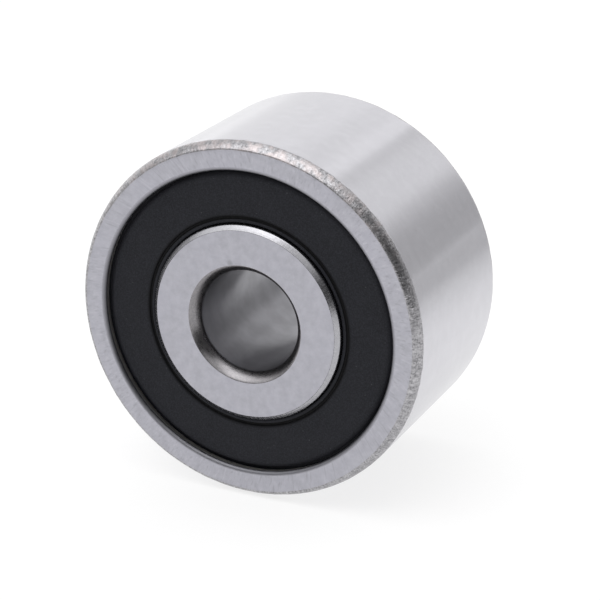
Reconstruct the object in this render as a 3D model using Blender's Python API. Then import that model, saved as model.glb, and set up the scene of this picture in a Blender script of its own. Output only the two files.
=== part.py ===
"""Yoke-type cam follower: a sealed track roller with two rows of balls.

Metres, +Z up. The roller's axis is Y, the origin is its centre, and the front end faces -Y.
Every turned piece is an outline of (radius, height) points, where height is the distance from the
roller's middle plane, positive towards the end that the piece belongs to.
"""

import math

import bmesh
import bpy
from mathutils import Matrix, Vector

# Driving dimensions
OUTSIDE_DIAMETER = 0.0350
BORE_DIAMETER = 0.0100
WIDTH = 0.0200
BALL_DIAMETER = 0.00635
BALLS_PER_ROW = 9
PITCH_RADIUS = 0.0119
ROW_OFFSET = 0.0039
CONTACT_ANGLE = math.radians(30)
CLEARANCE = 0.0003

# Rings
HALF_WIDTH = WIDTH / 2
BORE_RADIUS = BORE_DIAMETER / 2
RUNNING_RADIUS = OUTSIDE_DIAMETER / 2
RUNNING_CORNER = (0.00056, 0.0010)
BORE_MOUTH = (0.0008, 0.0017)
INNER_CORNER = (0.0003, 0.00065)
INNER_SHOULDER_RADIUS = 0.00965
INNER_LAND_RADIUS = 0.0090
OUTER_SHOULDER_RADIUS = 0.0146
OUTER_LAND_RADIUS = 0.0136
RECESS_RADIUS = 0.01493

# Seals
SEAL_RECESS_DEPTH = 0.0006
SEAL_GROOVE_RADIUS = 0.0154
SEAL_GROOVE_HEIGHTS = (0.0079, 0.0090)
SEAL_EDGE_ROUND = 0.0003
SEAL_BACK = 0.0082
SEAL_POCKET_RADII = (0.0109, 0.0142)
SEAL_POCKET_FLOOR = 0.0088
LIP_WIDTH = 0.00025
LIP_TOP = 0.0090
LIP_TIP = 0.00845
LIP_ROOT = 0.0081
LIP_GROOVE_RADII = (0.0103, 0.0105)
LIP_GROOVE_FLOOR = 0.00885
LIP_STEP_RADIUS = 0.01075
INSERT_THICKNESS = 0.00035

# Cages
CAGE_RADII = (0.01075, 0.01305)
CAGE_HEIGHTS = (0.0026, 0.0078)

# Facets
RING_SEGMENTS = 48
CORNER_STEPS = 3
RACE_STEPS = 4
BALL_SEGMENTS = 16
BALL_RINGS = 8
SMOOTH_ANGLE = math.radians(20)

AXIS = Vector((0, 1, 0))
ENDS = {"front": -1, "rear": 1}


def across_flats(radius):
    """Radius of the corners of a facetted round whose flats lie at the given radius."""
    return radius / math.cos(math.pi / RING_SEGMENTS)


def make_material(name, colour, roughness, metallic):
    material = bpy.data.materials.new(name)
    material.use_nodes = True
    shader = material.node_tree.nodes["Principled BSDF"]
    shader.inputs["Base Color"].default_value = (*colour, 1)
    shader.inputs["Roughness"].default_value = roughness
    shader.inputs["Metallic"].default_value = metallic
    material.diffuse_color = (*colour, 1)
    return material


def link(name, mesh, parent=None):
    piece = bpy.data.objects.new(name, mesh)
    piece.parent = parent
    bpy.context.collection.objects.link(piece)
    return piece


def mesh_from(bm, name, material):
    bmesh.ops.recalc_face_normals(bm, faces=bm.faces)
    mesh = bpy.data.meshes.new(name)
    bm.to_mesh(mesh)
    bm.free()
    mesh.materials.append(material)
    mesh.shade_smooth()
    mesh.set_sharp_from_angle(angle=SMOOTH_ANGLE)
    return mesh


def turned_mesh(name, outline, side, material):
    """Turn a closed outline of (radius, height) points about the roller's axis."""
    bm = bmesh.new()
    half_step = Matrix.Rotation(math.pi / RING_SEGMENTS, 3, AXIS)
    verts = [bm.verts.new(half_step @ Vector((radius, side * height, 0))) for radius, height in outline]
    edges = [bm.edges.new((a, b)) for a, b in zip(verts, verts[1:] + verts[:1])]
    bmesh.ops.spin(
        bm,
        geom=verts + edges,
        cent=(0, 0, 0),
        axis=AXIS,
        angle=math.tau,
        steps=RING_SEGMENTS,
        use_merge=True,
    )
    return mesh_from(bm, name, material)


def rounded_corner(start, end, corner):
    """Points of a quarter ellipse from start to end, bulging towards the sharp corner."""
    centre = (start[0] + end[0] - corner[0], start[1] + end[1] - corner[1])
    points = []
    for step in range(CORNER_STEPS + 1):
        turn = math.pi / 2 * step / CORNER_STEPS
        points.append(tuple(
            c + (s - c) * math.cos(turn) + (e - c) * math.sin(turn)
            for c, s, e in zip(centre, start, end)
        ))
    return points


def race_arc(shoulder_radius, land_radius, outward):
    """Arc round a ball's section, from the shoulder near the end to the land near the middle."""
    groove_radius = BALL_DIAMETER / 2 + CLEARANCE
    start = math.acos((shoulder_radius - PITCH_RADIUS) * outward / groove_radius)
    finish = -math.acos((land_radius - PITCH_RADIUS) * outward / groove_radius)
    points = []
    for step in range(RACE_STEPS + 1):
        angle = start + (finish - start) * step / RACE_STEPS
        radius = PITCH_RADIUS + outward * groove_radius * math.cos(angle)
        points.append((radius, ROW_OFFSET + groove_radius * math.sin(angle)))
    return points


def mirrored(half):
    """Close an outline whose first half runs from the middle of one side to the middle of the other."""
    return half + [(radius, -height) for radius, height in reversed(half)]


def make_outer_ring(material, parent):
    radial, axial = RUNNING_CORNER
    running = across_flats(RUNNING_RADIUS)
    groove_inner, groove_outer = SEAL_GROOVE_HEIGHTS
    half = [
        (running, HALF_WIDTH - axial),
        (running - radial, HALF_WIDTH),
        (RECESS_RADIUS, HALF_WIDTH),
        (RECESS_RADIUS, groove_outer),
        (SEAL_GROOVE_RADIUS, groove_outer),
        (SEAL_GROOVE_RADIUS, groove_inner),
        (OUTER_SHOULDER_RADIUS, groove_inner),
    ]
    half += race_arc(OUTER_SHOULDER_RADIUS, OUTER_LAND_RADIUS, outward=1)
    return link("outer_ring", turned_mesh("outer_ring", mirrored(half), 1, material), parent)


def make_inner_ring(material):
    bore = across_flats(BORE_RADIUS)
    mouth_radial, mouth_axial = BORE_MOUTH
    corner_radial, corner_axial = INNER_CORNER
    half = rounded_corner(
        (bore, HALF_WIDTH - mouth_axial),
        (bore + mouth_radial, HALF_WIDTH),
        (bore, HALF_WIDTH),
    )
    half += [
        (INNER_SHOULDER_RADIUS - corner_radial, HALF_WIDTH),
        (INNER_SHOULDER_RADIUS, HALF_WIDTH - corner_axial),
    ]
    half += race_arc(INNER_SHOULDER_RADIUS, INNER_LAND_RADIUS, outward=-1)
    return link("inner_ring", turned_mesh("inner_ring", mirrored(half), 1, material))


def make_seal(end, material, parent):
    """Rubber disc with a bead in the outer ring's groove and a lip round the inner ring."""
    name = f"{end}_seal"
    face = HALF_WIDTH - SEAL_RECESS_DEPTH
    rim = RECESS_RADIUS - CLEARANCE
    bead = SEAL_GROOVE_RADIUS - CLEARANCE
    lip = INNER_SHOULDER_RADIUS + CLEARANCE
    bead_top = SEAL_GROOVE_HEIGHTS[1] - CLEARANCE
    pocket_inner, pocket_outer = SEAL_POCKET_RADII
    outline = [
        (rim - SEAL_EDGE_ROUND, face),
        (rim, face - SEAL_EDGE_ROUND),
        (rim, bead_top),
        (bead, bead_top),
        (bead, SEAL_BACK),
        (pocket_outer, SEAL_BACK),
        (pocket_outer, SEAL_POCKET_FLOOR),
        (pocket_inner, SEAL_POCKET_FLOOR),
        (pocket_inner, LIP_ROOT),
        (lip + LIP_WIDTH, LIP_ROOT),
        (lip, LIP_TIP),
        (lip, LIP_TOP),
        (lip + LIP_WIDTH, LIP_TOP),
        (LIP_GROOVE_RADII[0], LIP_GROOVE_FLOOR),
        (LIP_GROOVE_RADII[1], LIP_GROOVE_FLOOR),
        (LIP_STEP_RADIUS, face),
    ]
    return link(name, turned_mesh(name, outline, ENDS[end], material), parent)


def make_seal_insert(end, material, parent):
    """Steel washer in the pocket on the seal's inner side."""
    name = f"{end}_seal_insert"
    inner = SEAL_POCKET_RADII[0] + CLEARANCE
    outer = SEAL_POCKET_RADII[1] - CLEARANCE
    outline = [
        (inner, SEAL_BACK),
        (outer, SEAL_BACK),
        (outer, SEAL_BACK + INSERT_THICKNESS),
        (inner, SEAL_BACK + INSERT_THICKNESS),
    ]
    return link(name, turned_mesh(name, outline, ENDS[end], material), parent)


def ball_centre(end, number):
    """Centre of a ball; the rear row sits half a ball's step round from the front row."""
    half_steps = 2 * number + (1 if end == "rear" else 0)
    angle = math.pi * half_steps / BALLS_PER_ROW
    return Vector((
        PITCH_RADIUS * math.sin(angle),
        ENDS[end] * ROW_OFFSET,
        PITCH_RADIUS * math.cos(angle),
    ))


def spin_axis(end, centre):
    """Direction of a ball's own spin, square to the line through its two contacts."""
    radial = Vector((centre.x, 0, centre.z)).normalized()
    return ENDS[end] * math.sin(CONTACT_ANGLE) * radial + math.cos(CONTACT_ANGLE) * AXIS


def add_sphere(bm, radius, place=Matrix.Identity(4)):
    bmesh.ops.create_uvsphere(
        bm,
        u_segments=BALL_SEGMENTS,
        v_segments=BALL_RINGS,
        radius=radius,
        matrix=place,
    )


def make_ball_mesh(material):
    bm = bmesh.new()
    add_sphere(bm, BALL_DIAMETER / 2)
    mesh = mesh_from(bm, "ball", material)
    mesh.shade_smooth()
    return mesh


def make_balls(end, mesh, parent):
    for number in range(BALLS_PER_ROW):
        centre = ball_centre(end, number)
        ball = link(f"{end}_ball_{number + 1}", mesh, parent)
        ball.rotation_mode = "QUATERNION"
        ball.rotation_quaternion = spin_axis(end, centre).to_track_quat("Z", "Y")
        ball.location = centre


def make_pocket_cutter(end, material, parent):
    """Spheres that cut the ball pockets out of a cage."""
    bm = bmesh.new()
    for number in range(BALLS_PER_ROW):
        centre = ball_centre(end, number)
        turn = spin_axis(end, centre).to_track_quat("Z", "Y").to_matrix().to_4x4()
        add_sphere(bm, BALL_DIAMETER / 2 + CLEARANCE, Matrix.Translation(centre) @ turn)
    name = f"{end}_pocket_cutter"
    cutter = link(name, mesh_from(bm, name, material), parent)
    cutter.hide_render = True
    cutter.display_type = "WIRE"
    return cutter


def make_cage(end, material, parent):
    """Snap cage: a closed ring near the seal, with fingers that reach in between the balls."""
    name = f"{end}_cage"
    inner, outer = CAGE_RADII
    low, high = CAGE_HEIGHTS
    outline = [(inner, low), (outer, low), (outer, high), (inner, high)]
    cage = link(name, turned_mesh(name, outline, ENDS[end], material), parent)
    pockets = cage.modifiers.new("ball_pockets", "BOOLEAN")
    pockets.operation = "DIFFERENCE"
    pockets.solver = "EXACT"
    pockets.object = make_pocket_cutter(end, material, parent)
    return cage


def main():
    for old in list(bpy.data.objects):
        bpy.data.objects.remove(old)

    ring_steel = make_material("ring_steel", (0.60, 0.60, 0.62), 0.35, 1.0)
    ball_steel = make_material("ball_steel", (0.75, 0.75, 0.77), 0.08, 1.0)
    insert_steel = make_material("insert_steel", (0.50, 0.51, 0.52), 0.40, 1.0)
    cage_polyamide = make_material("cage_polyamide", (0.62, 0.58, 0.45), 0.55, 0.0)
    seal_rubber = make_material("seal_rubber", (0.024, 0.026, 0.029), 0.62, 0.0)

    make_inner_ring(ring_steel)
    outer_axis = link("outer_ring_axis", None)
    make_outer_ring(ring_steel, outer_axis)
    ball_mesh = make_ball_mesh(ball_steel)
    for end in ENDS:
        make_seal(end, seal_rubber, outer_axis)
        make_seal_insert(end, insert_steel, outer_axis)
        cage_axis = link(f"{end}_cage_axis", None)
        make_cage(end, cage_polyamide, cage_axis)
        make_balls(end, ball_mesh, cage_axis)


main()
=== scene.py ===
"""Looks of the cam follower: finely turned rings, rubber seals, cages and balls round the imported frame.

Outlines are in millimetres, as (radius, height) points. Height is the distance from the roller's
middle plane, positive towards the end that a piece belongs to.
"""

import math

import bmesh
import bpy
from mathutils import Matrix, Vector, noise


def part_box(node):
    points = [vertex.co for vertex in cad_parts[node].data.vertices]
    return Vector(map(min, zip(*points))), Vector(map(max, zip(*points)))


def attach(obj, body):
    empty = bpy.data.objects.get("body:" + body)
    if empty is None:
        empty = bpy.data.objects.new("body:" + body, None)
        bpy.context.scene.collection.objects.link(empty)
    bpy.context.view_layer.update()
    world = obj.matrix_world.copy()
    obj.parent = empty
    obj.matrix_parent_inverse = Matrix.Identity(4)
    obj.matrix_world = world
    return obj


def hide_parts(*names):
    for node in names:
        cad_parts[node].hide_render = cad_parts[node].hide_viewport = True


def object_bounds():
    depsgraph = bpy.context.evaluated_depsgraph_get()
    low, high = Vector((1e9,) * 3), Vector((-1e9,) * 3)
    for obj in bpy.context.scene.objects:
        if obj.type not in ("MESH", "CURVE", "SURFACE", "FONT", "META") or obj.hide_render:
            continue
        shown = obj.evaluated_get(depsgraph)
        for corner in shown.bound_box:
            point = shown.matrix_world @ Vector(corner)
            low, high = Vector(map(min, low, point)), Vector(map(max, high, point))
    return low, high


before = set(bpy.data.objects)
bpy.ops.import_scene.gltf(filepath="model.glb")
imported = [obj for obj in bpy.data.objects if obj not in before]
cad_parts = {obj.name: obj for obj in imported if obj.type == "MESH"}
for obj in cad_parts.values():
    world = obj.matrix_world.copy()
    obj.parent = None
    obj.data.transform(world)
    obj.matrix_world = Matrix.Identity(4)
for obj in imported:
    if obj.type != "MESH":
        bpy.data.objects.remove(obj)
cad_low, cad_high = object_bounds()

MM = 0.001
ENDS = {"front": -1, "rear": 1}


def ring_radius(node):
    """Outside radius of a turned CAD node, in millimetres."""
    low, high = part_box(node)
    return (high.z - low.z) / 2 / MM


def ring_heights(node):
    """Distances of a turned CAD node's two ends from the middle plane, in millimetres, low one first."""
    low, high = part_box(node)
    return sorted((abs(low.y) / MM, abs(high.y) / MM))


# Sizes from the frame
HALF_WIDTH = ring_heights("outer_ring")[1]
RUNNING_RADIUS = ring_radius("outer_ring")
SHOULDER_RADIUS = ring_radius("inner_ring")
BEAD_RADIUS = ring_radius("front_seal")
SEAL_FACE = ring_heights("front_seal")[1]
INSERT_HEIGHTS = ring_heights("front_seal_insert")
INSERT_RADIUS = ring_radius("front_seal_insert")
CAGE_HEIGHTS = ring_heights("front_cage")
CAGE_RADIUS = ring_radius("front_cage")
BALL_RADIUS = sum(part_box("front_ball_1")[1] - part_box("front_ball_1")[0]) / 6 / MM

# Sizes that the frame's boxes don't give
BORE_RADIUS = 5.0
RECESS_RADIUS = 14.93
RECESS_FLOOR = 9.0
GROOVE = (15.4, 7.9)
OUTER_SHOULDER = 14.6
OUTER_LAND = 13.6
INNER_LAND = 9.0
WASHER_BORE = 11.2
WASHER_EDGE = 0.08
CAGE_BORE = 10.75
CAGE_EDGE = 0.25
PITCH_RADIUS = 11.9
ROW_OFFSET = 3.9
RACE_CLEARANCE = 0.12
POCKET_CLEARANCE = 0.2
BALLS_PER_ROW = 9

# Worn corners, as (distance in from the cylinder, depth below the side face), from the cylinder out
RUNNING_CORNER = (
    (0, 1.5), (0, 1.15), (0.025, 0.97), (0.09, 0.76), (0.18, 0.56), (0.29, 0.37),
    (0.41, 0.21), (0.53, 0.085), (0.61, 0.025), (0.70, 0),
)
INNER_CORNER = (
    (0, 0.85), (0, 0.56), (0.007, 0.46), (0.035, 0.38), (0.10, 0.305), (0.19, 0.225),
    (0.28, 0.145), (0.355, 0.085), (0.41, 0.042), (0.445, 0.012), (0.47, 0),
)
BORE_MOUTH = (
    (0, 1.9), (0, 1.4), (0.004, 1.22), (0.025, 1.08), (0.075, 0.94), (0.155, 0.78), (0.26, 0.60),
    (0.37, 0.44), (0.48, 0.30), (0.58, 0.19), (0.67, 0.105), (0.74, 0.05), (0.79, 0.015), (0.82, 0),
)
# Points at the start of the bore mouth's curve that still have the bore's finish
MOUTH_START = 8

# Where the flat side faces begin and end, into the metal from the nearest cylinder
OUTER_FACE_START = 0.95
INNER_FACE_END = 0.45
INNER_FACE_START = 0.85

# How turned corners are roughened: the part within reach, as (in from the cylinder, below the side
# face), is pushed along a slope, as (outwards, endwards), by bumps of (amount, grain, seed, stretch)
OUTER_ROUGHNESS = ((0.9, 1.4), (0.87, 0.49), ((0.020, 0.9, 3, 1.0), (0.012, 0.22, 11, 1.5)))
INNER_ROUGHNESS = ((0.4, 0.7), (1.0, 1.0), ((0.002, 0.3, 21, 1.0),))

# Rounded mouth of the seal recess: radii of its arc, and how far outside the recess it is centred
RECESS_MOUTH = (0.39, 0.37)
RECESS_MOUTH_OFFSET = 0.26
RECESS_WALL_TOP = SEAL_FACE - 0.2

# Seal, from its rim by the recess round to its lip by the inner ring
RIM_GAP = 0.33
RIM_START = 14.03
RIM_DROP = 0.5
BEAD_TOP = 8.75
BEAD_BACK = 8.25
BEAD_EDGE = 0.15
POCKET_RADII = (11.0, 14.1)
POCKET_GAP = 0.1
LIP_GAP = 0.06
LIP_CHAMFER = 0.35
LIP_TOP = 8.7

# Arcs between the seal's lip and its flat face, as (radius of the centre, radii); their centres lie
# ARCS_DEPTH below the seal's face
ARCS_DEPTH = 0.12
LIP_ARC = (9.90, (0.17, 0.08))
GROOVE_ARC = (10.21, (0.14, 0.13))
SHOULDER_ARC = (10.68, (0.33, 0.12))

# Radii between which painted shade darkens the seal's groove, and those between which it fades out again
GROOVE_DARKENS = (10.0, 10.1)
GROOVE_LIGHTENS = (10.25, 10.65)

# Fineness
SAME_POINT = 1e-6
RING_SEGMENTS = 512
SEAL_SEGMENTS = 320
CAGE_SEGMENTS = 144
POCKET_SEGMENTS = (40, 20)
BALL_SUBDIVISIONS = 4
FLOOR_SEGMENTS = 96
SHARP_ANGLE = math.radians(32)

# Middle of the small dark smudge on the inner ring's front face
SMUDGE = (-1.4, -10.0, 5.9)

# Floor, in metres, and the direction in which painted shade makes it dimmer
FLOOR_RADIUS = 1.5
FLOOR_GLOW = 0.75
FAR_RIGHT = (0.53, 0.85, 0.0)

# Camera: angles in degrees, distance and aim in roller diameters, lens and sensor in millimetres
CAMERA_AZIMUTH = 25.35
CAMERA_ELEVATION = 20.73
CAMERA_DISTANCE = 5.732
AIM_RIGHT = 0.0272
AIM_UP = -0.0264
LENS = 124.4
SENSOR = 36
CLIP = (0.01, 10)

# Sockets of the mix node's colours, and the second output of a vector maths node
COLOUR_A, COLOUR_B, COLOUR_RESULT = 6, 7, 2
VALUE = 1


# Meshes


def arc(centre, radii, start, finish, steps):
    """Points on an elliptical arc; angles in degrees, 0 along the radius and 90 along the height."""
    points = []
    for step in range(steps + 1):
        angle = math.radians(start + (finish - start) * step / steps)
        points.append((centre[0] + radii[0] * math.cos(angle), centre[1] + radii[1] * math.sin(angle)))
    return points


def rounded_section(inner, outer, heights, edge):
    """Outline of a flat ring with its four edges rounded."""
    low, high = heights
    centres = (
        (outer - edge, high - edge, 90),
        (outer - edge, low + edge, 0),
        (inner + edge, low + edge, 270),
        (inner + edge, high - edge, 180),
    )
    outline = []
    for radius, height, start in centres:
        outline += arc((radius, height), (edge, edge), start, start - 90, 4)
    return outline


def along_corner(cylinder, corner, outward=1, steps=3):
    """Smooth curve through a worn corner's points, from the cylinder to the side face."""
    points = [(cylinder - outward * inward, HALF_WIDTH - depth) for inward, depth in corner]
    curve = []
    for index in range(len(points) - 1):
        before, start, finish, after = (
            points[max(0, min(len(points) - 1, index + shift))] for shift in (-1, 0, 1, 2)
        )
        for step in range(steps):
            t = step / steps
            weights = (
                (-t + 2 * t**2 - t**3) / 2,
                (2 - 5 * t**2 + 3 * t**3) / 2,
                (t + 4 * t**2 - 3 * t**3) / 2,
                (t**3 - t**2) / 2,
            )
            curve.append(tuple(
                sum(w * p[part] for w, p in zip(weights, (before, start, finish, after)))
                for part in (0, 1)
            ))
    return curve + [points[-1]]


def race(shoulder, land, outward, steps=20):
    """Arc of a ball race from the shoulder near the end to the land near the middle."""
    groove = BALL_RADIUS + RACE_CLEARANCE
    start = math.acos((shoulder - PITCH_RADIUS) * outward / groove)
    finish = -math.acos((land - PITCH_RADIUS) * outward / groove)
    points = []
    for step in range(steps + 1):
        angle = start + (finish - start) * step / steps
        radius = PITCH_RADIUS + outward * groove * math.cos(angle)
        points.append((radius, ROW_OFFSET + groove * math.sin(angle)))
    return points


def both_ends(sections):
    """Sections of (material, points) for one end, then the same mirrored back along the other end."""
    mirror = [(slot, [(r, -h) for r, h in reversed(points)]) for slot, points in reversed(sections)]
    return sections + mirror


def turned(name, sections, materials, side=1, segments=RING_SEGMENTS, shape=None):
    """Turn a closed outline, given as (material, points) sections, about the roller's axis.

    Side is -1 for the front end and 1 for the rear end. Shape(radius, height, angle) may move a point,
    for instance to roughen a corner.
    """
    rows = []
    slots = []
    for slot, points in sections:
        for point in points:
            if rows and math.dist(point, rows[-1]) < SAME_POINT:
                slots[-1] = slot
                continue
            rows.append(point)
            slots.append(slot)
    verts = []
    for radius, height in rows:
        for step in range(segments):
            angle = math.tau * step / segments
            r, h = (radius, height) if shape is None else shape(radius, height, angle)
            verts.append((r * MM * math.cos(angle), side * h * MM, r * MM * math.sin(angle)))
    faces = []
    face_slots = []
    for row in range(len(rows)):
        upper = row * segments
        lower = (row + 1) % len(rows) * segments
        for step in range(segments):
            turn = (step + 1) % segments
            faces.append((upper + step, upper + turn, lower + turn, lower + step))
            face_slots.append(slots[row])
    mesh = bpy.data.meshes.new(name)
    mesh.from_pydata(verts, [], faces)
    for material in materials:
        mesh.materials.append(material)
    mesh.polygons.foreach_set("material_index", face_slots)
    return finished(mesh)


def finished(mesh):
    """Face a closed mesh outwards and shade it smooth, except across its sharp edges."""
    bm = bmesh.new()
    bm.from_mesh(mesh)
    bmesh.ops.recalc_face_normals(bm, faces=bm.faces)
    bm.to_mesh(mesh)
    bm.free()
    mesh.shade_smooth()
    mesh.set_sharp_from_angle(angle=SHARP_ANGLE)
    return mesh


def place(name, mesh, body, nodes, centre=(0, 0, 0)):
    """Show a mesh as a piece that rides on a body and stands for CAD nodes."""
    piece = bpy.data.objects.new(name, mesh)
    bpy.context.scene.collection.objects.link(piece)
    piece.location = centre
    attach(piece, body)
    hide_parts(*nodes)
    return piece


def roughness_at(radius, height, angle, grain, seed):
    """Smooth noise from -1 to 1 over a ring's surface, with bumps about one grain across."""
    point = Vector((radius * math.cos(angle), height, radius * math.sin(angle))) / grain
    return noise.noise(point + Vector((seed, 0, 0)))


def roughened(cylinder, reach, slope, bumps):
    """Shape for turned() that roughens a corner and keeps it within the cylinder and the side face."""
    inward, depth = reach
    outwards, endwards = slope

    def shape(radius, height, angle):
        if radius < cylinder - inward or HALF_WIDTH - abs(height) > depth:
            return radius, height
        push = sum(
            amount * roughness_at(radius, height * stretch, angle, grain, seed)
            for amount, grain, seed, stretch in bumps
        )
        moved_radius = min(cylinder, radius + outwards * push)
        moved_height = min(HALF_WIDTH, abs(height) + endwards * push)
        return moved_radius, math.copysign(moved_height, height)

    return shape


# Shader building


class Nodes:
    """Short ways to add nodes to a node tree."""

    def __init__(self, tree):
        self.tree = tree

    def node(self, kind, **inputs):
        """Add a node and feed its inputs, named with underscores for spaces."""
        made = self.tree.nodes.new(kind)
        for name, value in inputs.items():
            self.feed(made.inputs[name.replace("_", " ")], value)
        return made

    def feed(self, socket, value):
        """Link an output to an input socket, or set the socket to a plain value."""
        if isinstance(value, bpy.types.NodeSocket):
            self.tree.links.new(value, socket)
        else:
            socket.default_value = value

    def math(self, operation, a, b=0.0):
        made = self.tree.nodes.new("ShaderNodeMath")
        made.operation = operation
        self.feed(made.inputs[0], a)
        self.feed(made.inputs[1], b)
        return made.outputs[0]

    def vector(self, operation, a, b=None, output=0):
        made = self.tree.nodes.new("ShaderNodeVectorMath")
        made.operation = operation
        self.feed(made.inputs[0], a)
        if b is not None:
            self.feed(made.inputs["Scale"] if operation == "SCALE" else made.inputs[1], b)
        return made.outputs[output]

    def combine(self, x, y, z):
        return self.node("ShaderNodeCombineXYZ", X=x, Y=y, Z=z).outputs[0]

    def range(self, value, low, high, new_low=0.0, new_high=1.0, smooth=False):
        """Map low..high to new_low..new_high, clamped."""
        made = self.tree.nodes.new("ShaderNodeMapRange")
        made.interpolation_type = "SMOOTHSTEP" if smooth else "LINEAR"
        for socket, number in zip(made.inputs[:5], (value, low, high, new_low, new_high)):
            self.feed(socket, number)
        return made.outputs[0]

    def noise(self, coordinates, scale, detail=3.0, roughness=0.55):
        return self.node(
            "ShaderNodeTexNoise", Vector=coordinates, Scale=scale, Detail=detail, Roughness=roughness
        ).outputs[0]

    def blend(self, share, a, b):
        """Mix two colours."""
        made = self.tree.nodes.new("ShaderNodeMix")
        made.data_type = "RGBA"
        self.feed(made.inputs[0], share)
        for index, colour in ((COLOUR_A, a), (COLOUR_B, b)):
            is_output = isinstance(colour, bpy.types.NodeSocket)
            self.feed(made.inputs[index], colour if is_output else (*colour, 1))
        return made.outputs[COLOUR_RESULT]

    def bump(self, height, distance, normal=None):
        """Normal bumped by a height from 0 to 1 that stands for a distance in metres."""
        made = self.node("ShaderNodeBump", Strength=1.0, Distance=distance, Height=height)
        if normal is not None:
            self.feed(made.inputs["Normal"], normal)
        return made.outputs[0]

    def place(self):
        """The object's own coordinates in millimetres."""
        coordinates = self.tree.nodes.new("ShaderNodeTexCoord").outputs["Object"]
        return self.vector("SCALE", coordinates, 1 / MM)

    def turned_place(self):
        """Place, radius, height and direction from the axis, for patterns that run round it."""
        where = self.place()
        split = self.node("ShaderNodeSeparateXYZ", Vector=where)
        across = self.combine(split.outputs[0], 0.0, split.outputs[2])
        radius = self.vector("LENGTH", across, output=VALUE)
        direction = self.vector("NORMALIZE", across)
        return where, radius, split.outputs[1], direction

    def fade(self, pattern, share):
        """Shrink a pattern's swing round 0.5 to a share of it."""
        return self.math("ADD", 0.5, self.math("MULTIPLY", self.math("SUBTRACT", pattern, 0.5), share))

    def lay(self, radius, height, direction, around, across, along):
        """Coordinates for noise, with its cells per unit of direction, radial mm and axial mm."""
        turn = self.vector("SCALE", direction, around)
        shift = self.combine(
            self.math("MULTIPLY", radius, across),
            self.math("MULTIPLY", height, along),
            self.math("MULTIPLY", radius, across),
        )
        return self.vector("ADD", turn, shift)


class Shader(Nodes):
    """A material with one Principled shader."""

    def __init__(self, name, colour, roughness, metallic, specular=0.5):
        self.material = bpy.data.materials.new(name)
        self.material.use_nodes = True
        super().__init__(self.material.node_tree)
        self.surface = self.tree.nodes["Principled BSDF"]
        self.set("Base Color", (*colour, 1))
        self.set("Roughness", roughness)
        self.set("Metallic", metallic)
        self.set("Specular IOR Level", specular)
        self.material.diffuse_color = (*colour, 1)

    def set(self, socket, value):
        """Set a shader input to a plain value."""
        self.surface.inputs[socket].default_value = value

    def drive(self, socket, output):
        """Link a node's output to a shader input."""
        self.tree.links.new(output, self.surface.inputs[socket])


# Materials. Places and radii in their patterns are in millimetres.


def running_steel():
    """Ground cylinder with grinding lines round it, and a rough turned corner at each end, with a painted
    warm sheen on the corner's upper side.
    """
    s = Shader("running_steel", (0.58, 0.58, 0.60), 0.26, 1.0)
    where, radius, height, direction = s.turned_place()
    below = s.math("SUBTRACT", RUNNING_RADIUS, radius)
    corner = s.range(below, 0.004, 0.03, smooth=True)

    lines = s.noise(s.lay(radius, height, direction, 4.0, 0.0, 9.0), 1.0, 4.0, 0.7)
    clouds = s.noise(where, 0.35, 2.0)
    ground = s.blend(s.range(lines, 0.3, 0.7), (0.575, 0.568, 0.603), (0.605, 0.598, 0.633))
    ground = s.blend(s.range(clouds, 0.35, 0.65, 0.0, 0.35), ground, (0.62, 0.613, 0.653))
    handling = s.noise(s.lay(radius, height, direction, 3.5, 0.0, 0.02), 1.0, 4.0, 0.6)
    ground = s.blend(s.range(handling, 0.4, 0.62, 0.0, 0.6), ground, (0.55, 0.545, 0.578))
    smudges = s.noise(where, 0.9, 4.0, 0.65)
    ground = s.blend(s.range(smudges, 0.45, 0.7, 0.0, 0.35), ground, (0.645, 0.64, 0.677))

    grain = s.noise(s.lay(radius, height, direction, 75.0, 1.2, 1.2), 1.0, 4.0, 0.7)
    speck = s.noise(where, 5.5, 3.0, 0.65)
    mottle = s.math("MULTIPLY", s.math("ADD", grain, speck), 0.5)
    turned_colour = s.blend(s.range(mottle, 0.38, 0.62), (0.175, 0.173, 0.181), (0.54, 0.532, 0.553))
    # Painted warm sheen: a pinkish tint of reflected light on the corner's upper side, in patches.
    warm = s.noise(where, 1.1, 2.0)
    on_top = s.vector("DOT_PRODUCT", direction, (0.0, 0.0, 1.0), output=VALUE)
    painted_warm_sheen = s.math("MULTIPLY", s.range(warm, 0.42, 0.62), s.range(on_top, 0.4, 0.9, 0.0, 0.55))
    turned_colour = s.blend(painted_warm_sheen, turned_colour, (0.56, 0.49, 0.485))
    s.drive("Base Color", s.blend(corner, ground, turned_colour))

    ground_roughness = s.range(lines, 0.3, 0.7, 0.15, 0.18)
    s.drive("Roughness", s.math("ADD", ground_roughness, s.range(corner, 0, 1, 0, 0.14)))
    fine = s.math("MULTIPLY", lines, s.math("SUBTRACT", 1.0, corner))
    coarse = s.math("MULTIPLY", mottle, corner)
    s.drive("Normal", s.bump(coarse, 6e-5, s.bump(fine, 4e-7)))
    s.set("Anisotropic", 0.6)
    s.set("Anisotropic Rotation", 0.25)
    tangent = s.tree.nodes.new("ShaderNodeTangent")
    tangent.direction_type = "RADIAL"
    tangent.axis = "Y"
    s.drive("Tangent", tangent.outputs[0])
    return s.material


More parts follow.
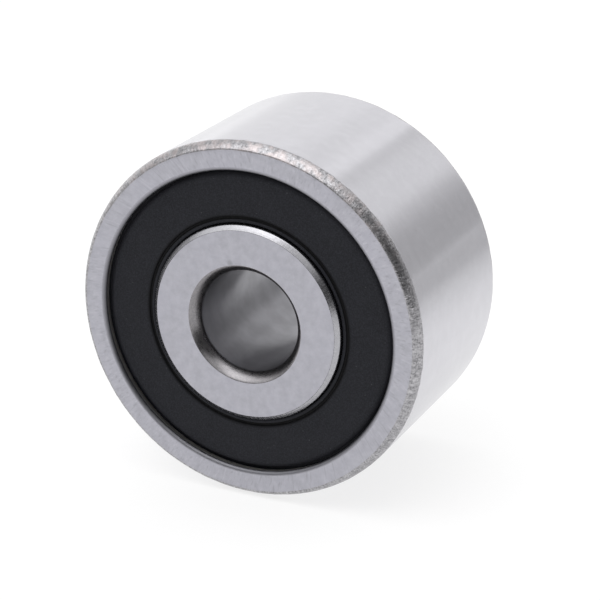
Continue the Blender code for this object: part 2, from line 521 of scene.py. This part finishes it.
def face_steel():
    """Ground side face with fine marks that run outwards, mostly on the outer ring."""
    s = Shader("face_steel", (0.47, 0.47, 0.49), 0.30, 1.0)
    where, radius, height, direction = s.turned_place()
    marks = s.noise(s.lay(radius, height, direction, 130.0, 0.25, 0.0), 1.0, 4.0, 0.65)
    ticks = s.noise(s.lay(radius, height, direction, 70.0, 1.1, 0.0), 1.0, 2.0, 0.5)
    clouds = s.noise(where, 0.28, 3.0)
    mottle = s.noise(where, 1.1, 5.0, 0.7)
    on_outer_ring = s.range(radius, 9.0, 14.0)
    marked = s.fade(marks, s.range(on_outer_ring, 0, 1, 0.3, 1))
    ticks = s.fade(ticks, on_outer_ring)
    smudge = s.vector("DISTANCE", where, SMUDGE, output=VALUE)
    pits = s.noise(where, 7.0, 2.0)
    colour = s.blend(s.range(marked, 0.3, 0.7), (0.369, 0.366, 0.403), (0.431, 0.428, 0.472))
    colour = s.blend(s.range(clouds, 0.35, 0.7, 0.0, 0.6), colour, (0.436, 0.433, 0.488))
    colour = s.blend(s.range(mottle, 0.38, 0.62, 0.0, 0.8), colour, (0.474, 0.471, 0.517))
    colour = s.blend(s.range(ticks, 0.58, 0.68, 0.0, 0.5), colour, (0.536, 0.531, 0.575))
    colour = s.blend(s.range(ticks, 0.42, 0.32, 0.0, 0.5), colour, (0.31, 0.308, 0.335))
    colour = s.blend(s.range(pits, 0.70, 0.78, 0.0, 0.5), colour, (0.30, 0.30, 0.31))
    colour = s.blend(s.range(smudge, 0.10, 0.42, 0.42, 0.0, smooth=True), colour, (0.20, 0.20, 0.215))
    s.drive("Base Color", colour)
    s.drive("Roughness", s.range(marks, 0.3, 0.7, 0.33, 0.42))
    s.drive("Normal", s.bump(marks, 2.5e-6))
    return s.material


def corner_steel():
    """Turned outer corner of the inner ring: bright, with scratches across it."""
    s = Shader("corner_steel", (0.6, 0.6, 0.6), 0.24, 1.0)
    where, radius, height, direction = s.turned_place()
    scratches = s.noise(s.lay(radius, height, direction, 60.0, 0.6, 0.6), 1.0, 4.0, 0.7)
    speck = s.noise(where, 5.0, 3.0)
    mottle = s.math("MULTIPLY", s.math("ADD", scratches, speck), 0.5)
    colour = s.blend(s.range(mottle, 0.38, 0.62), (0.36, 0.358, 0.38), (0.45, 0.447, 0.472))
    s.drive("Base Color", colour)
    s.drive("Roughness", s.range(scratches, 0.3, 0.7, 0.18, 0.32))
    s.drive("Normal", s.bump(mottle, 5e-6))
    return s.material


def recess_steel():
    """Turned and hardened edge of the seal recess, with painted shade that darkens it the deeper it goes.
    """
    s = Shader("recess_steel", (0.30, 0.30, 0.32), 0.42, 1.0)
    _, radius, height, direction = s.turned_place()
    grain = s.noise(s.lay(radius, height, direction, 60.0, 2.0, 2.0), 1.0, 3.0)
    # Painted shade: the colour darkens deeper into the recess.
    recess_painted_shade = s.range(radius, RECESS_RADIUS - 0.05, RECESS_RADIUS + RECESS_MOUTH_OFFSET, 1.0, 0.0)
    colour = s.blend(recess_painted_shade, (0.42, 0.417, 0.46), (0.15, 0.149, 0.162))
    colour = s.blend(s.range(grain, 0.35, 0.65, 0.0, 0.3), colour, (0.25, 0.248, 0.27))
    s.drive("Base Color", colour)
    s.drive("Roughness", s.range(grain, 0.3, 0.7, 0.40, 0.48))
    s.drive("Normal", s.bump(grain, 4e-6))
    return s.material


def bore_steel():
    """Ground bore with a satin shine and faint lines round it; its colour is painted dark for the shade
    inside the bore.
    """
    s = Shader("bore_steel", (0.50, 0.50, 0.52), 0.14, 1.0)
    where, radius, height, direction = s.turned_place()
    lines = s.noise(s.lay(radius, height, direction, 2.0, 0.0, 6.0), 1.0, 4.0, 0.6)
    clouds = s.noise(where, 0.5, 2.0)
    # Painted shade: the bore's colour is kept dark for the shade inside it.
    colour = s.blend(s.range(clouds, 0.35, 0.65), (0.225, 0.223, 0.238), (0.27, 0.268, 0.287))
    s.drive("Base Color", colour)
    s.drive("Roughness", s.range(lines, 0.3, 0.7, 0.28, 0.32))
    s.drive("Normal", s.bump(lines, 3e-7))
    return s.material


def mouth_steel():
    """Turned and polished mouth of the bore, a very little pink."""
    s = Shader("mouth_steel", (0.42, 0.41, 0.42), 0.28, 1.0)
    where, radius, height, direction = s.turned_place()
    turning = s.noise(s.lay(radius, height, direction, 9.0, 4.0, 4.0), 1.0, 3.0)
    speck = s.noise(where, 4.5, 3.0)
    colour = s.blend(s.range(speck, 0.35, 0.65), (0.235, 0.227, 0.238), (0.285, 0.274, 0.283))
    s.drive("Base Color", colour)
    s.drive("Roughness", s.range(turning, 0.3, 0.7, 0.25, 0.33))
    s.drive("Normal", s.bump(speck, 4e-6))
    return s.material


def turned_steel():
    """Turned and hardened steel inside the rings, between the ground surfaces."""
    s = Shader("turned_steel", (0.45, 0.44, 0.43), 0.5, 1.0)
    _, radius, height, direction = s.turned_place()
    tool_marks = s.noise(s.lay(radius, height, direction, 2.0, 6.0, 6.0), 1.0, 3.0)
    s.drive("Base Color", s.blend(s.range(tool_marks, 0.3, 0.7), (0.40, 0.39, 0.38), (0.55, 0.54, 0.54)))
    s.drive("Roughness", s.range(tool_marks, 0.3, 0.7, 0.46, 0.60))
    s.drive("Normal", s.bump(tool_marks, 2e-5))
    return s.material


def race_steel():
    """Honed ball race."""
    s = Shader("race_steel", (0.62, 0.62, 0.63), 0.10, 1.0)
    _, radius, height, direction = s.turned_place()
    honing = s.noise(s.lay(radius, height, direction, 3.0, 8.0, 8.0), 1.0, 3.0)
    s.drive("Base Color", s.blend(honing, (0.56, 0.56, 0.57), (0.68, 0.68, 0.69)))
    s.drive("Roughness", s.range(honing, 0.3, 0.7, 0.07, 0.14))
    return s.material


def seal_rubber():
    """Matt moulded black rubber with a fine grain and a little dust."""
    s = Shader("seal_rubber", (0.018, 0.019, 0.021), 0.62, 0.0, specular=0.18)
    where, radius, _, _ = s.turned_place()
    grain = s.noise(where, 9.0, 3.0, 0.6)
    clouds = s.noise(where, 0.4, 3.0)
    dust = s.noise(where, 3.2, 1.0)
    colour = s.blend(s.range(clouds, 0.3, 0.7), (0.0095, 0.0101, 0.0134), (0.0125, 0.0132, 0.0169))
    colour = s.blend(s.range(grain, 0.40, 0.68, 0.0, 0.7), colour, (0.030, 0.0308, 0.039))
    colour = s.blend(s.range(dust, 0.74, 0.80, 0.0, 0.5), colour, (0.09, 0.09, 0.098))
    # Painted shade in the seal's groove, between the radii given above.
    groove_painted_shade = s.math(
        "MULTIPLY",
        s.range(radius, *GROOVE_DARKENS, smooth=True),
        s.range(radius, *GROOVE_LIGHTENS, 1.0, 0.0, smooth=True),
    )
    colour = s.blend(groove_painted_shade, colour, (0.0025, 0.0025, 0.003))
    s.drive("Base Color", colour)
    s.drive("Roughness", s.range(grain, 0.3, 0.7, 0.54, 0.68))
    s.drive("Normal", s.bump(grain, 1.8e-5))
    return s.material


def insert_steel():
    """Cold rolled sheet, with rolling marks along one direction."""
    s = Shader("insert_steel", (0.50, 0.51, 0.52), 0.36, 1.0)
    stretched = s.vector("MULTIPLY", s.place(), (0.3, 6.0, 6.0))
    rolling = s.noise(stretched, 1.0, 3.0)
    s.drive("Base Color", s.blend(rolling, (0.44, 0.45, 0.46), (0.56, 0.57, 0.58)))
    s.drive("Roughness", s.range(rolling, 0.3, 0.7, 0.30, 0.44))
    s.drive("Normal", s.bump(rolling, 4e-6))
    return s.material


def cage_polyamide():
    """Moulded natural polyamide, waxy and slightly cloudy."""
    s = Shader("cage_polyamide", (0.62, 0.58, 0.45), 0.5, 0.0)
    clouds = s.noise(s.place(), 0.7, 4.0)
    skin = s.noise(s.place(), 9.0, 2.0)
    s.drive("Base Color", s.blend(clouds, (0.56, 0.52, 0.39), (0.68, 0.65, 0.52)))
    s.drive("Roughness", s.range(skin, 0.3, 0.7, 0.42, 0.56))
    s.drive("Normal", s.bump(skin, 1.2e-5))
    s.set("Subsurface Weight", 0.15)
    s.set("Subsurface Radius", (0.0012, 0.001, 0.0006))
    return s.material


def ball_steel():
    """Lapped ball with a trace of grease."""
    s = Shader("ball_steel", (0.76, 0.76, 0.78), 0.05, 1.0)
    grease = s.noise(s.place(), 0.5, 3.0)
    s.drive("Base Color", s.blend(s.range(grease, 0.4, 0.7), (0.78, 0.78, 0.80), (0.70, 0.68, 0.62)))
    s.drive("Roughness", s.range(grease, 0.4, 0.7, 0.035, 0.12))
    return s.material


def paper_white():
    """Matt white sheet under the roller that glows a little, and has painted shade that makes it dimmer
    to the far right.

    The dim part is out of the camera's sight. The low side of the running surface reflects it.
    """
    s = Shader("paper_white", (0.9, 0.9, 0.9), 0.9, 0.0, specular=0.1)
    where = s.place()
    fibres = s.noise(where, 0.05, 3.0)
    along = s.vector("DOT_PRODUCT", where, FAR_RIGHT, output=VALUE)
    facing = s.vector("DOT_PRODUCT", s.vector("NORMALIZE", where), FAR_RIGHT, output=VALUE)
    # Painted shade: the floor's colour and glow drop towards the far right.
    dim = s.math("MULTIPLY", s.range(along, 50.0, 190.0), s.range(facing, 0.82, 0.95, smooth=True))
    paper = s.blend(fibres, (0.265, 0.265, 0.265), (0.275, 0.275, 0.275))
    s.drive("Base Color", s.blend(dim, paper, (0.16, 0.16, 0.16)))
    s.set("Emission Color", (1, 1, 1, 1))
    glow = s.math("MULTIPLY", s.range(dim, 0.0, 1.0, 1.0, 0.6), FLOOR_GLOW)
    s.drive("Emission Strength", glow)
    return s.material


# Pieces


def make_outer_ring():
    groove_radius, groove_back = GROOVE
    mouth_centre = (RECESS_RADIUS + RECESS_MOUTH_OFFSET, HALF_WIDTH - RECESS_MOUTH[1])
    sections = [
        (0, along_corner(RUNNING_RADIUS, RUNNING_CORNER)),
        (1, [(RUNNING_RADIUS - OUTER_FACE_START, HALF_WIDTH), (mouth_centre[0], HALF_WIDTH)]),
        (4, arc(mouth_centre, RECESS_MOUTH, 90, 180, 12)),
        (2, [
            (RECESS_RADIUS, RECESS_WALL_TOP),
            (RECESS_RADIUS, RECESS_FLOOR),
            (groove_radius, RECESS_FLOOR),
            (groove_radius, groove_back),
            (OUTER_SHOULDER, groove_back),
        ]),
        (3, race(OUTER_SHOULDER, OUTER_LAND, outward=1)),
    ]
    materials = [running_steel(), face_steel(), turned_steel(), race_steel(), recess_steel()]
    rough_corner = roughened(RUNNING_RADIUS, *OUTER_ROUGHNESS)
    mesh = turned("outer_ring_turned", both_ends(sections), materials, shape=rough_corner)
    return place("outer_ring_turned", mesh, "outer", ["outer_ring"])


def make_inner_ring():
    races = race(SHOULDER_RADIUS, INNER_LAND, outward=-1)
    mouth = along_corner(BORE_RADIUS, BORE_MOUTH, outward=-1)
    face = [(BORE_RADIUS + INNER_FACE_START, HALF_WIDTH), (SHOULDER_RADIUS - INNER_FACE_END, HALF_WIDTH)]
    sections = [
        (0, mouth[:MOUTH_START]),
        (4, mouth[MOUTH_START:]),
        (1, face),
        (2, along_corner(SHOULDER_RADIUS, INNER_CORNER)[::-1]),
        (2, races[:1]),
        (3, races),
    ]
    materials = [bore_steel(), face_steel(), corner_steel(), race_steel(), mouth_steel()]
    rough_corner = roughened(SHOULDER_RADIUS, *INNER_ROUGHNESS)
    mesh = turned("inner_ring_turned", both_ends(sections), materials, shape=rough_corner)
    return place("inner_ring_turned", mesh, "inner", ["inner_ring"])


def make_seal(end, rubber):
    back = ring_heights(f"{end}_seal")[0]
    rim = RECESS_RADIUS - RIM_GAP
    lip = SHOULDER_RADIUS + LIP_GAP
    pocket_inner, pocket_outer = POCKET_RADII
    pocket_floor = INSERT_HEIGHTS[1] + POCKET_GAP

    def face_arc(form, start, finish, steps):
        centre, radii = form
        return arc((centre, SEAL_FACE - ARCS_DEPTH), radii, start, finish, steps)

    outline = (
        arc((RIM_START, SEAL_FACE - RIM_DROP), (rim - RIM_START, RIM_DROP), 90, 0, 12)
        + [(rim, BEAD_TOP), (BEAD_RADIUS, BEAD_TOP)]
        + arc((BEAD_RADIUS - BEAD_EDGE, BEAD_BACK + BEAD_EDGE), (BEAD_EDGE, BEAD_EDGE), 0, -90, 4)
        + [(pocket_outer, BEAD_BACK), (pocket_outer, pocket_floor)]
        + [(pocket_inner, pocket_floor), (pocket_inner, back)]
        + [(lip + LIP_CHAMFER, back), (lip, back + LIP_CHAMFER), (lip, LIP_TOP)]
        + face_arc(LIP_ARC, 180, 0, 10)
        + face_arc(GROOVE_ARC, 180, 360, 10)
        + face_arc(SHOULDER_ARC, 180, 90, 9)
    )
    name = f"{end}_seal_moulded"
    mesh = turned(name, [(0, outline)], [rubber], ENDS[end], SEAL_SEGMENTS)
    return place(name, mesh, "outer", [f"{end}_seal"])


def make_insert(end, steel):
    outline = rounded_section(WASHER_BORE, INSERT_RADIUS, INSERT_HEIGHTS, WASHER_EDGE)
    name = f"{end}_seal_washer"
    mesh = turned(name, [(0, outline)], [steel], ENDS[end], SEAL_SEGMENTS)
    return place(name, mesh, "outer", [f"{end}_seal_insert"])


def ball_centre(end, number):
    low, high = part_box(f"{end}_ball_{number}")
    return (low + high) / 2


def make_cage(end, polyamide):
    """Ring with rounded edges, cut by a sphere round each ball."""
    outline = rounded_section(CAGE_BORE, CAGE_RADIUS, CAGE_HEIGHTS, CAGE_EDGE)
    name = f"{end}_cage_moulded"
    mesh = turned(name, [(0, outline)], [polyamide], ENDS[end], CAGE_SEGMENTS)
    cage = bpy.data.objects.new(name, mesh)
    bpy.context.scene.collection.objects.link(cage)

    pockets = bmesh.new()
    for number in range(1, BALLS_PER_ROW + 1):
        bmesh.ops.create_uvsphere(
            pockets,
            u_segments=POCKET_SEGMENTS[0],
            v_segments=POCKET_SEGMENTS[1],
            radius=(BALL_RADIUS + POCKET_CLEARANCE) * MM,
            matrix=Matrix.Translation(ball_centre(end, number)),
        )
    cutter_mesh = bpy.data.meshes.new("pockets")
    pockets.to_mesh(cutter_mesh)
    pockets.free()
    cutter = bpy.data.objects.new("pockets", cutter_mesh)
    bpy.context.scene.collection.objects.link(cutter)
    cut = cage.modifiers.new("pockets", "BOOLEAN")
    cut.operation = "DIFFERENCE"
    cut.object = cutter
    bpy.context.view_layer.update()
    shown = cage.evaluated_get(bpy.context.evaluated_depsgraph_get())
    cut_mesh = finished(bpy.data.meshes.new_from_object(shown))
    bpy.data.objects.remove(cage)
    bpy.data.objects.remove(cutter)
    return place(name, cut_mesh, f"{end}_cage", [f"{end}_cage"])


def make_ball_mesh(steel):
    bm = bmesh.new()
    bmesh.ops.create_icosphere(bm, subdivisions=BALL_SUBDIVISIONS, radius=BALL_RADIUS * MM)
    mesh = bpy.data.meshes.new("lapped_ball")
    bm.to_mesh(mesh)
    bm.free()
    mesh.materials.append(steel)
    mesh.shade_smooth()
    return mesh


def make_ball(end, number, mesh):
    name = f"{end}_ball_{number}"
    return place(f"{name}_lapped", mesh, name, [name], ball_centre(end, number))


# Stage


def make_floor():
    bm = bmesh.new()
    bmesh.ops.create_circle(bm, cap_ends=True, segments=FLOOR_SEGMENTS, radius=FLOOR_RADIUS)
    mesh = bpy.data.meshes.new("floor")
    bm.to_mesh(mesh)
    bm.free()
    mesh.materials.append(paper_white())
    floor = bpy.data.objects.new("floor", mesh)
    floor.location.z = cad_low.z
    bpy.context.scene.collection.objects.link(floor)


# Brightness of the studio by direction: soft discs laid over one another in this order, each as
# (towards, full within this angle, gone beyond this angle, brightness), angles in degrees
STUDIO_BASE = 0.30
LEFT_BOX = (-0.592, 0.647, 0.480)
STUDIO_DISCS = (
    ((0.0, 1.0, 0.5), 48, 78, 1.0),  # wall behind the roller
    (LEFT_BOX, 44.5, 46.8, 0.84),  # box behind on the left, with three steps of brightness
    (LEFT_BOX, 39.8, 42.2, 1.13),
    (LEFT_BOX, 33.5, 37.0, 1.05),
    ((-0.374, 0.845, 0.381), 4, 14, 1.10),  # brighter spot in that box
    ((-0.9, 0.0, 0.5), 15, 38, 0.62),  # left wall
    ((-0.85, 0.52, -0.25), 20, 38, 1.50),  # low on the left, for the running surface's far edge
    ((0.85, -0.34, 0.26), 30, 48, 0.06),  # dark on the right
    ((-0.3, -0.95, 0.12), 20, 45, 0.18),  # dark in front
    ((-0.68, -0.32, 0.66), 8, 27, 1.45),  # left end of the box overhead
    ((-0.10, -0.25, 0.97), 14, 40, 2.45),  # box overhead
    ((0.36, -0.57, 0.74), 4, 25, 0.50),  # dim above the camera
    ((0.525, 0.845, 0.097), 6, 20, 0.55),  # dim behind on the right, for the running surface's grey band
    ((0.0, 0.0, -1.0), 89.4, 90.0, 1.0),  # white below the horizon, beyond the floor
)


def make_world():
    """White studio, as the discs give it."""
    world = bpy.data.worlds.new("studio")
    bpy.context.scene.world = world
    world.use_nodes = True
    s = Nodes(world.node_tree)
    towards = s.tree.nodes.new("ShaderNodeTexCoord").outputs["Generated"]
    level = STUDIO_BASE
    for centre, full, gone, brightness in STUDIO_DISCS:
        facing = s.vector("DOT_PRODUCT", towards, Vector(centre).normalized(), output=VALUE)
        edges = [math.cos(math.radians(angle)) for angle in (gone, full)]
        share = s.range(facing, *edges, smooth=True)
        change = s.math("MULTIPLY", s.math("SUBTRACT", brightness, level), share)
        level = s.math("ADD", level, change)
    background = s.tree.nodes["Background"]
    s.tree.links.new(level, background.inputs["Color"])
    background.inputs["Strength"].default_value = 1.0


def make_light(name, direction, distance, size, watts):
    """Square soft box that faces the roller from a direction."""
    data = bpy.data.lights.new(name, "AREA")
    data.size = size
    data.energy = watts
    light = bpy.data.objects.new(name, data)
    towards = Vector(direction).normalized()
    light.location = towards * distance
    light.rotation_mode = "QUATERNION"
    light.rotation_quaternion = towards.to_track_quat("Z", "Y")
    bpy.context.scene.collection.objects.link(light)


def make_camera():
    """View of the front end from the right and from above."""
    azimuth = math.radians(CAMERA_AZIMUTH)
    elevation = math.radians(CAMERA_ELEVATION)
    diameter = cad_high.z - cad_low.z
    distance = CAMERA_DISTANCE * diameter
    back = Vector((
        math.sin(azimuth) * math.cos(elevation),
        -math.cos(azimuth) * math.cos(elevation),
        math.sin(elevation),
    ))
    right = Vector((math.cos(azimuth), math.sin(azimuth), 0))
    up = back.cross(right)
    centre = (cad_low + cad_high) / 2
    aim = centre + (AIM_RIGHT * right + AIM_UP * up) * diameter
    camera = bpy.data.objects.new("camera", bpy.data.cameras.new("camera"))
    camera.data.sensor_width = SENSOR
    camera.data.lens = LENS
    camera.data.clip_start, camera.data.clip_end = CLIP
    camera.location = centre + back * distance
    camera.rotation_mode = "QUATERNION"
    camera.rotation_quaternion = (camera.location - aim).to_track_quat("Z", "Y")
    bpy.context.scene.collection.objects.link(camera)
    bpy.context.scene.camera = camera


make_outer_ring()
make_inner_ring()
rubber = seal_rubber()
washer_steel = insert_steel()
polyamide = cage_polyamide()
ball_mesh = make_ball_mesh(ball_steel())
for end in ENDS:
    make_seal(end, rubber)
    make_insert(end, washer_steel)
    make_cage(end, polyamide)
    for number in range(1, BALLS_PER_ROW + 1):
        make_ball(end, number, ball_mesh)

make_floor()
make_world()
make_light("front", direction=(0.22, -0.62, 0.75), distance=0.8, size=0.7, watts=0.6)
make_camera()
bpy.context.scene.view_settings.view_transform = "Standard"
